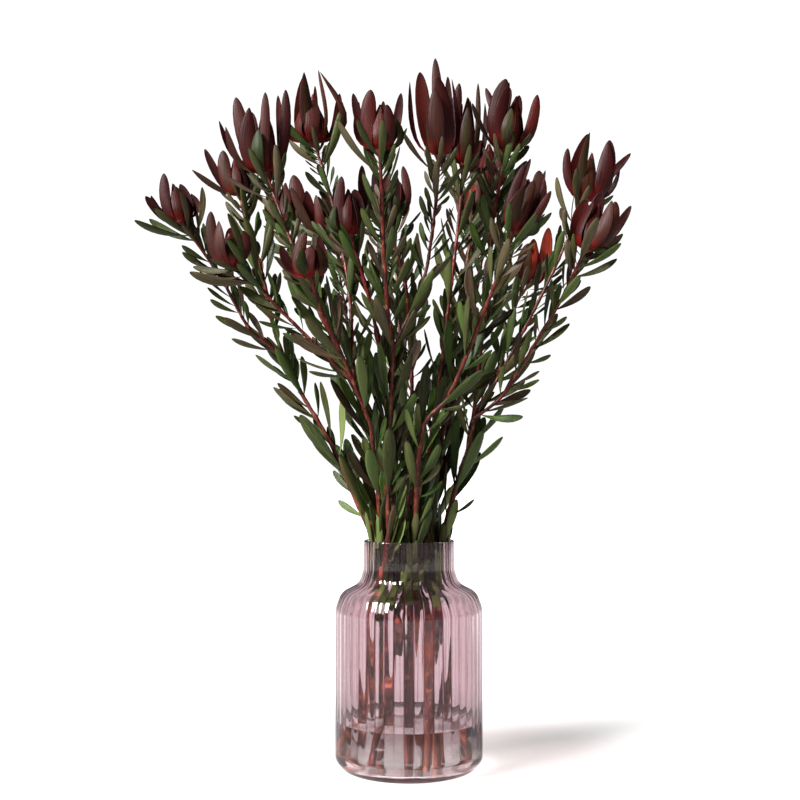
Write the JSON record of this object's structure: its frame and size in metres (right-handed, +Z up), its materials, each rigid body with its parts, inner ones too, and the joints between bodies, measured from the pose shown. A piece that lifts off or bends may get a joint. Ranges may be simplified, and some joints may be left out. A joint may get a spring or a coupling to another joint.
{
  "type": "vase of leucadendron stems",
  "caption": "Branching leucadendron stems with dark red heads and olive leaves, standing in a ribbed pink glass vase with a little water.",
  "frame": {"origin": "middle of the vase's underside, which rests on the table", "axes": "+Z up along the vase's axis, -Y towards the side the picture shows"},
  "size_m": [0.4727, 0.3217, 0.6953],
  "materials": {
    "vase_glass": "clear pink glass with vertical ribs",
    "water": "clear water",
    "leaf": "leathery satin leaf on woody red-brown stem",
    "bark": "smooth red-brown bark",
    "bract": "satin dark burgundy bract"
  },
  "bodies": {
    "root": {"vase": "vase_glass", "water": "water", "stem_01": "leaf", "stem_02": "leaf", "stem_03": "leaf", "stem_04": "leaf", "stem_05": "leaf", "stem_06": "leaf", "stem_07": "leaf", "stem_08": "leaf", "stem_09": "leaf", "stem_10": "leaf", "stem_11": "leaf", "stem_12": "leaf", "head_01": "bract", "head_02": "bract", "head_03": "bract", "head_04": "bract", "head_05": "bract", "head_06": "bract", "head_07": "bract", "head_08": "bract", "head_09": "bract", "head_10": "bract", "head_11": "bract", "head_12": "bract", "head_13": "bract", "head_14": "bract", "head_15": "bract", "head_16": "bract", "head_17": "bract", "head_18": "bract", "head_19": "bract", "head_20": "bract", "head_21": "bract", "head_22": "bract", "head_23": "bract"}
  },
  "joints": []
}
